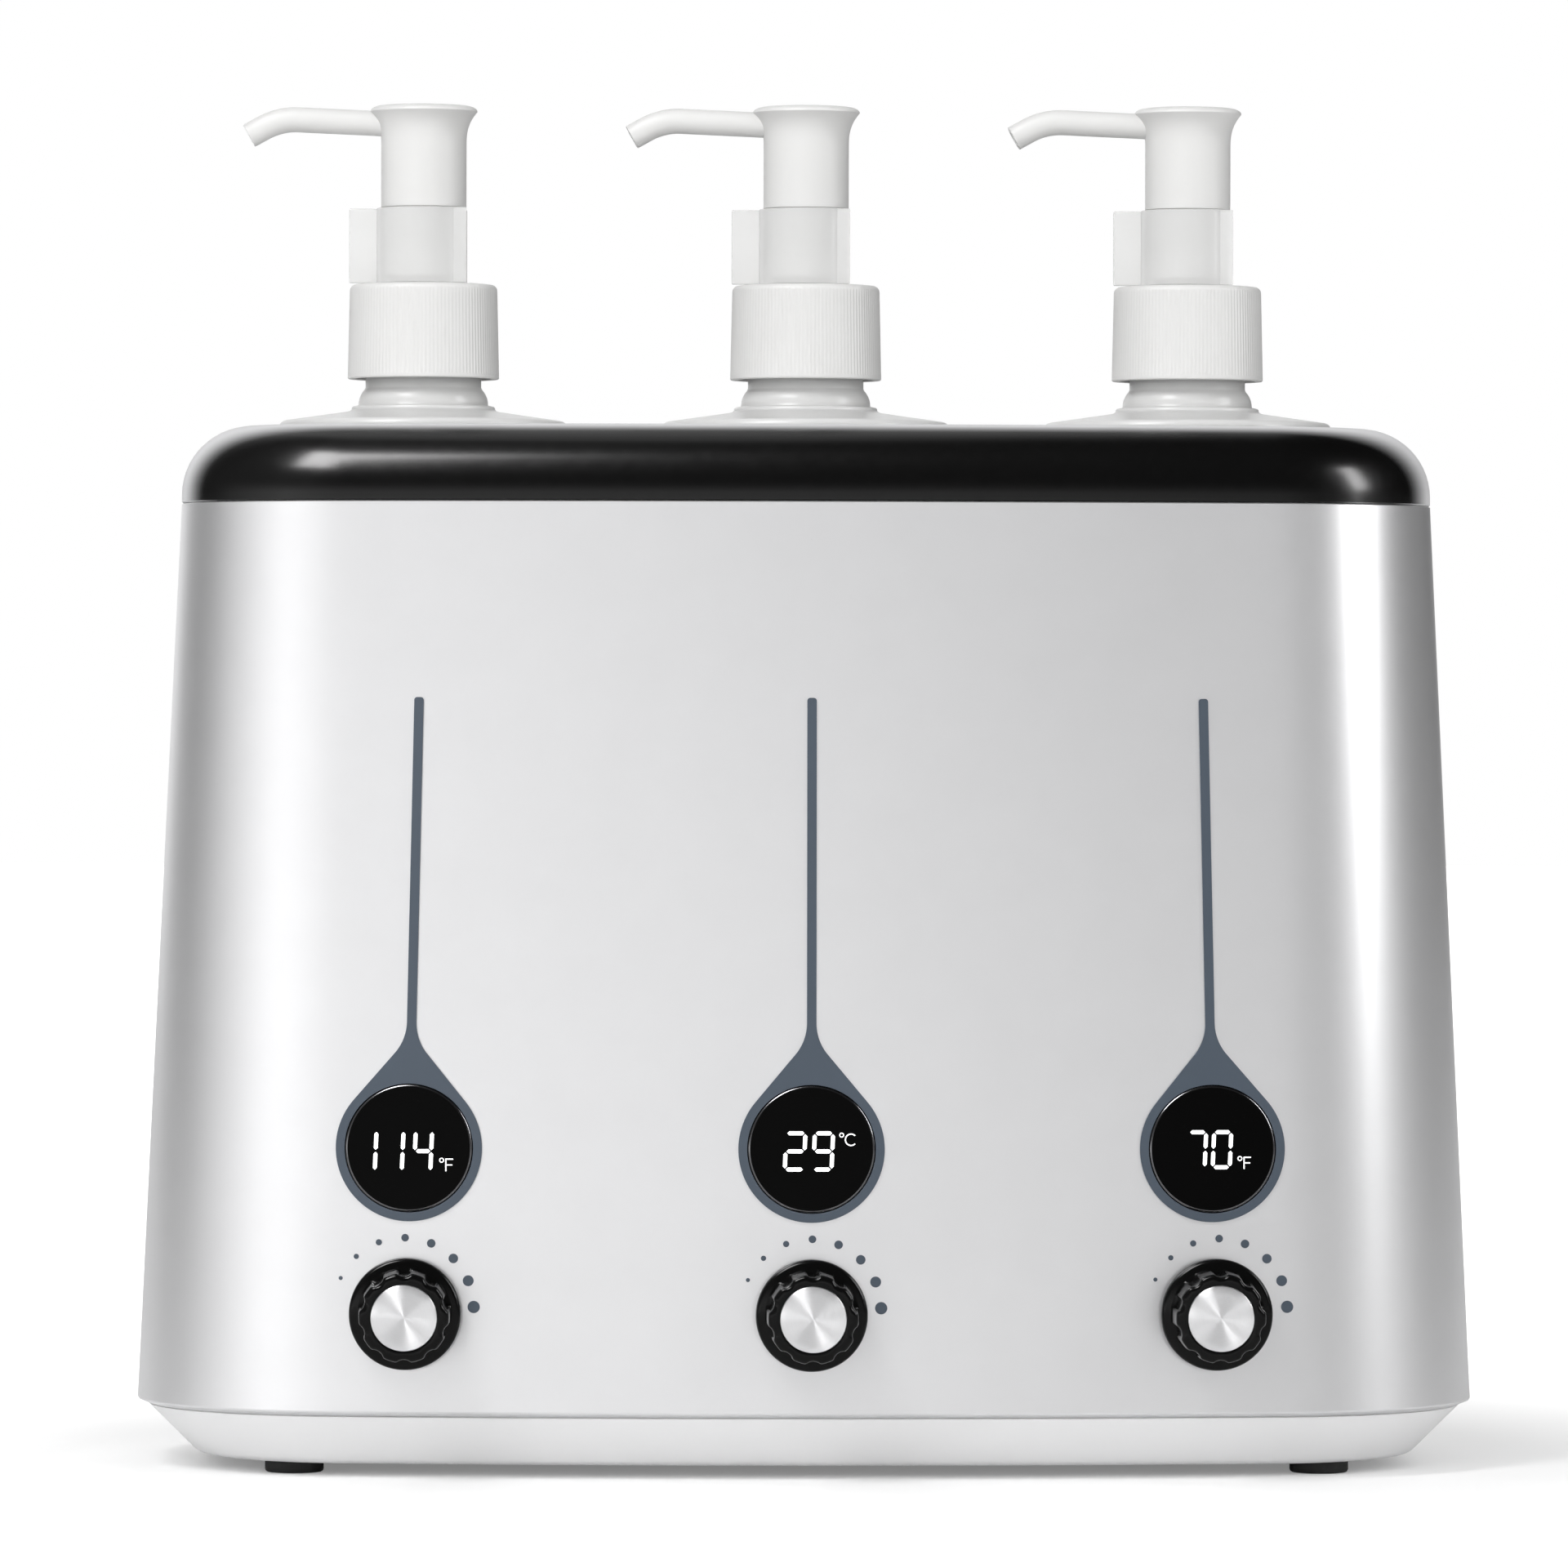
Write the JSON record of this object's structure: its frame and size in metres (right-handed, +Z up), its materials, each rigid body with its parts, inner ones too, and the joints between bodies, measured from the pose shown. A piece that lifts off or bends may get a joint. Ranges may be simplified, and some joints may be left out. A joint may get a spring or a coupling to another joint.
{
  "type": "massage oil warmer",
  "caption": "Tapered countertop warmer for pump bottles of massage oil, with heating wells, a rounded lid, round temperature displays, knobs and lift-out bottles with lotion pumps.",
  "frame": {"origin": "on the floor, under the middle of the body", "axes": "+Z up, the front with its knobs faces -Y, +X to the right seen from the front"},
  "size_m": [0.28, 0.1453, 0.2859],
  "materials": {
    "white_plastic": "satin",
    "silver_paint": "satin metallic paint",
    "black_gloss": "gloss",
    "slate_print": "satin",
    "rubber_black": "matt",
    "spun_aluminium": "spun",
    "well_aluminium": "plain",
    "screw_steel": "plain",
    "spring_steel": "plain",
    "silicone_orange": "matt",
    "seal_rubber": "matt",
    "frame_plastic": "matt",
    "board_green": "satin",
    "module_plastic": "matt",
    "lead_red": "satin",
    "inlet_plastic": "matt",
    "pin_brass": "plain",
    "bottle_plastic": "translucent white",
    "clip_clear": "clear"
  },
  "bodies": {
    "warmer": {"base_pan": "white_plastic", "rubber_feet": "rubber_black", "base_screws": "screw_steel", "outer_shell": "silver_paint", "top_lid": "black_gloss", "well_carrier": "frame_plastic", "heater_mats": "silicone_orange", "well_seals": "seal_rubber", "temperature_sensors": "pin_brass", "display_lenses": "black_gloss", "display_modules": "module_plastic", "control_boards": "board_green", "control_bodies": "frame_plastic", "board_screws": "screw_steel", "power_board": "board_green", "heater_leads": "lead_red", "inlet_socket": "inlet_plastic", "inlet_pins": "pin_brass", "heating_well_left": "well_aluminium", "heating_well_middle": "well_aluminium", "heating_well_right": "well_aluminium", "drop_trim_left": "slate_print", "drop_trim_middle": "slate_print", "drop_trim_right": "slate_print"},
    "knob_left_body": {"knob_left": "black_gloss", "knob_cap_left": "spun_aluminium", "control_shaft_left": "screw_steel"},
    "bottle_left_body": {"bottle_left": "bottle_plastic"},
    "pump_left_body": {"pump_housing_left": "white_plastic", "pump_collar_left": "white_plastic", "dip_tube_left": "bottle_plastic", "pump_spring_left": "spring_steel"},
    "closure_left_body": {"closure_left": "white_plastic"},
    "stem_left_body": {"pump_stem_left": "white_plastic"},
    "head_left_body": {"pump_head_left": "white_plastic"},
    "clip_left_body": {"lock_clip_left": "clip_clear"},
    "knob_middle_body": {"knob_middle": "black_gloss", "knob_cap_middle": "spun_aluminium", "control_shaft_middle": "screw_steel"},
    "bottle_middle_body": {"bottle_middle": "bottle_plastic"},
    "pump_middle_body": {"pump_housing_middle": "white_plastic", "pump_collar_middle": "white_plastic", "dip_tube_middle": "bottle_plastic", "pump_spring_middle": "spring_steel"},
    "closure_middle_body": {"closure_middle": "white_plastic"},
    "stem_middle_body": {"pump_stem_middle": "white_plastic"},
    "head_middle_body": {"pump_head_middle": "white_plastic"},
    "clip_middle_body": {"lock_clip_middle": "clip_clear"},
    "knob_right_body": {"knob_right": "black_gloss", "knob_cap_right": "spun_aluminium", "control_shaft_right": "screw_steel"},
    "bottle_right_body": {"bottle_right": "bottle_plastic"},
    "pump_right_body": {"pump_housing_right": "white_plastic", "pump_collar_right": "white_plastic", "dip_tube_right": "bottle_plastic", "pump_spring_right": "spring_steel"},
    "closure_right_body": {"closure_right": "white_plastic"},
    "stem_right_body": {"pump_stem_right": "white_plastic"},
    "head_right_body": {"pump_head_right": "white_plastic"},
    "clip_right_body": {"lock_clip_right": "clip_clear"}
  },
  "joints": [
    {"name": "knob_turn_left", "type": "hinge", "parent": "warmer", "child": "knob_left_body", "pos_m": [-0.0832, -0.06, 0.0345], "axis": [0, 1, 0], "range_deg": [-82.6, 82.6]},
    {"name": "bottle_lift_left", "type": "slide", "parent": "warmer", "child": "bottle_left_body", "axis": [0, 0, 1], "range_m": [0, 0.135]},
    {"name": "pump_rise_left", "type": "slide", "parent": "bottle_left_body", "child": "pump_left_body", "axis": [0, 0, 1], "range_m": [0, 0.0048]},
    {"name": "closure_turn_left", "type": "hinge", "parent": "pump_left_body", "child": "closure_left_body", "pos_m": [-0.08066, 0, 0.238], "axis": [0, 0, 1], "range_deg": [0, 540]},
    {"name": "press_left", "type": "slide", "parent": "pump_left_body", "child": "stem_left_body", "axis": [0, 0, -1], "range_m": [0, 0.012], "stiffness_N_per_m": 400, "springref_m": -0.005, "deforming": ["pump_spring_left"]},
    {"name": "swivel_left", "type": "hinge", "parent": "stem_left_body", "child": "head_left_body", "pos_m": [-0.08066, 0, 0.28], "axis": [0, 0, 1], "continuous": true},
    {"name": "clip_pull_left", "type": "slide", "parent": "pump_left_body", "child": "clip_left_body", "axis": [-1, 0, 0], "range_m": [0, 0.045]},
    {"name": "knob_turn_middle", "type": "hinge", "parent": "warmer", "child": "knob_middle_body", "pos_m": [0, -0.06, 0.0345], "axis": [0, 1, 0], "range_deg": [-82.6, 82.6]},
    {"name": "bottle_lift_middle", "type": "slide", "parent": "warmer", "child": "bottle_middle_body", "axis": [0, 0, 1], "range_m": [0, 0.135]},
    {"name": "pump_rise_middle", "type": "slide", "parent": "bottle_middle_body", "child": "pump_middle_body", "axis": [0, 0, 1], "range_m": [0, 0.0048]},
    {"name": "closure_turn_middle", "type": "hinge", "parent": "pump_middle_body", "child": "closure_middle_body", "pos_m": [0, 0, 0.238], "axis": [0, 0, 1], "range_deg": [0, 540]},
    {"name": "press_middle", "type": "slide", "parent": "pump_middle_body", "child": "stem_middle_body", "axis": [0, 0, -1], "range_m": [0, 0.012], "stiffness_N_per_m": 400, "springref_m": -0.005, "deforming": ["pump_spring_middle"]},
    {"name": "swivel_middle", "type": "hinge", "parent": "stem_middle_body", "child": "head_middle_body", "pos_m": [0, 0, 0.28], "axis": [0, 0, 1], "continuous": true},
    {"name": "clip_pull_middle", "type": "slide", "parent": "pump_middle_body", "child": "clip_middle_body", "axis": [-1, 0, 0], "range_m": [0, 0.045]},
    {"name": "knob_turn_right", "type": "hinge", "parent": "warmer", "child": "knob_right_body", "pos_m": [0.0832, -0.06, 0.0345], "axis": [0, 1, 0], "range_deg": [-82.6, 82.6]},
    {"name": "bottle_lift_right", "type": "slide", "parent": "warmer", "child": "bottle_right_body", "axis": [0, 0, 1], "range_m": [0, 0.135]},
    {"name": "pump_rise_right", "type": "slide", "parent": "bottle_right_body", "child": "pump_right_body", "axis": [0, 0, 1], "range_m": [0, 0.0048]},
    {"name": "closure_turn_right", "type": "hinge", "parent": "pump_right_body", "child": "closure_right_body", "pos_m": [0.08066, 0, 0.238], "axis": [0, 0, 1], "range_deg": [0, 540]},
    {"name": "press_right", "type": "slide", "parent": "pump_right_body", "child": "stem_right_body", "axis": [0, 0, -1], "range_m": [0, 0.012], "stiffness_N_per_m": 400, "springref_m": -0.005, "deforming": ["pump_spring_right"]},
    {"name": "swivel_right", "type": "hinge", "parent": "stem_right_body", "child": "head_right_body", "pos_m": [0.08066, 0, 0.28], "axis": [0, 0, 1], "continuous": true},
    {"name": "clip_pull_right", "type": "slide", "parent": "pump_right_body", "child": "clip_right_body", "axis": [-1, 0, 0], "range_m": [0, 0.045]}
  ],
  "couplings": [
    {"joint": "pump_rise_left", "follows": "closure_turn_left", "m_per_rad": 0.00050532},
    {"joint": "pump_rise_middle", "follows": "closure_turn_middle", "m_per_rad": 0.00050532},
    {"joint": "pump_rise_right", "follows": "closure_turn_right", "m_per_rad": 0.00050532}
  ]
}
